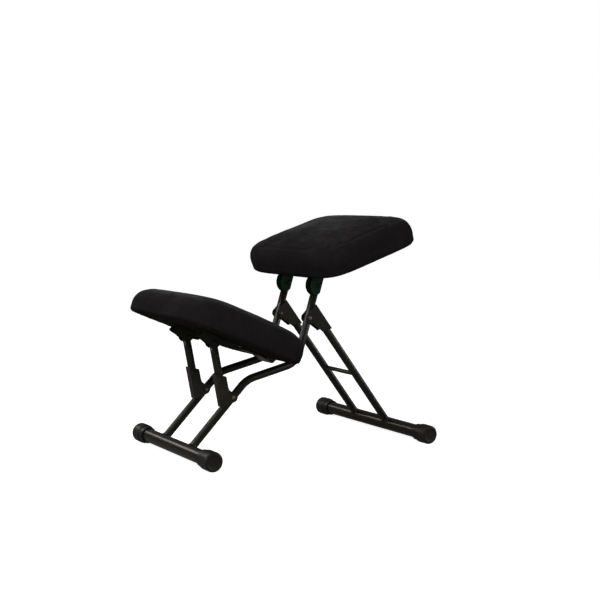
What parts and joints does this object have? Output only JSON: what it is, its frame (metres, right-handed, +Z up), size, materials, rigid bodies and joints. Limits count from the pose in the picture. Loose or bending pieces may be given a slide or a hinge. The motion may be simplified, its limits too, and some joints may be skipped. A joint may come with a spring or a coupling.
{
  "type": "folding kneeling chair",
  "caption": "Folding kneeling chair: tilted seat and knee pads hinged on bent tube posts, with a folding rear leg frame and rubber-capped crossbars.",
  "frame": {"origin": "on the floor, under the middle of the bounding box", "axes": "+Z up, +Y towards the back of the chair (the sitter faces -Y), +X towards the sitter's left"},
  "size_m": [0.545, 0.7476, 0.643],
  "materials": {
    "frame_paint": "semi-gloss powder coat",
    "cap_rubber": "satin",
    "pad_fabric": "short pile upholstery",
    "moulded_plastic": "satin",
    "fastener_steel": "zinc plated",
    "base_board": "dark stained plywood"
  },
  "bodies": {
    "main_frame": {"front_crossbar": "frame_paint", "front_cap_left": "cap_rubber", "front_cap_right": "cap_rubber", "main_tube_left": "frame_paint", "main_tube_right": "frame_paint", "frame_cross_brace": "frame_paint", "seat_post_plug_left": "moulded_plastic", "knee_pivot_bolt_left": "fastener_steel", "knee_pivot_nut_left": "fastener_steel", "rear_pivot_bolt_left": "fastener_steel", "rear_pivot_nut_left": "fastener_steel", "seat_pivot_bolt_left": "fastener_steel", "seat_pivot_nut_left": "fastener_steel", "seat_post_plug_right": "moulded_plastic", "knee_pivot_bolt_right": "fastener_steel", "knee_pivot_nut_right": "fastener_steel", "rear_pivot_bolt_right": "fastener_steel", "rear_pivot_nut_right": "fastener_steel", "seat_pivot_bolt_right": "fastener_steel", "seat_pivot_nut_right": "fastener_steel"},
    "rear_frame": {"rear_crossbar": "frame_paint", "rear_cap_left": "cap_rubber", "rear_cap_right": "cap_rubber", "rear_leg_left": "frame_paint", "rear_leg_right": "frame_paint", "rear_leg_rung": "frame_paint", "rear_bracket_left": "frame_paint", "rear_bracket_right": "frame_paint"},
    "knee_frame": {"knee_post_left": "frame_paint", "knee_bracket_left": "frame_paint", "knee_post_plug_left": "moulded_plastic", "pad_pivot_bolt_left": "fastener_steel", "pad_pivot_nut_left": "fastener_steel", "knee_post_right": "frame_paint", "knee_bracket_right": "frame_paint", "knee_post_plug_right": "moulded_plastic", "pad_pivot_bolt_right": "fastener_steel", "pad_pivot_nut_right": "fastener_steel"},
    "seat": {"seat_cushion": "pad_fabric", "seat_board": "base_board", "seat_bracket_left": "moulded_plastic", "seat_bracket_right": "moulded_plastic", "seat_screw_left_front": "fastener_steel", "seat_screw_left_rear": "fastener_steel", "seat_screw_right_front": "fastener_steel", "seat_screw_right_rear": "fastener_steel"},
    "knee_pad": {"knee_cushion": "pad_fabric", "knee_board": "base_board", "knee_pad_rest": "frame_paint", "rest_screw_left": "fastener_steel", "rest_screw_right": "fastener_steel", "knee_pad_bracket_left": "moulded_plastic", "knee_pad_bracket_right": "moulded_plastic", "knee_screw_left_front": "fastener_steel", "knee_screw_left_rear": "fastener_steel", "knee_screw_right_front": "fastener_steel", "knee_screw_right_rear": "fastener_steel"}
  },
  "joints": [
    {"name": "rear_leg_fold", "type": "hinge", "parent": "main_frame", "child": "rear_frame", "pos_m": [0, 0.0584, 0.3606], "axis": [-1, 0, 0], "range_deg": [0, 54]},
    {"name": "knee_frame_fold", "type": "hinge", "parent": "main_frame", "child": "knee_frame", "pos_m": [0, -0.1904, 0.1608], "axis": [-1, 0, 0], "range_deg": [0, 36]},
    {"name": "knee_pad_tilt", "type": "hinge", "parent": "knee_frame", "child": "knee_pad", "pos_m": [0, -0.24464, 0.31356], "axis": [1, 0, 0], "range_deg": [0, 118]},
    {"name": "seat_tilt", "type": "hinge", "parent": "main_frame", "child": "seat", "pos_m": [0, 0.08731, 0.4495], "axis": [1, 0, 0], "range_deg": [0, 55]}
  ],
  "couplings": [
    {"joint": "knee_pad_tilt", "follows": "knee_frame_fold", "ratio": 3.2777}
  ]
}
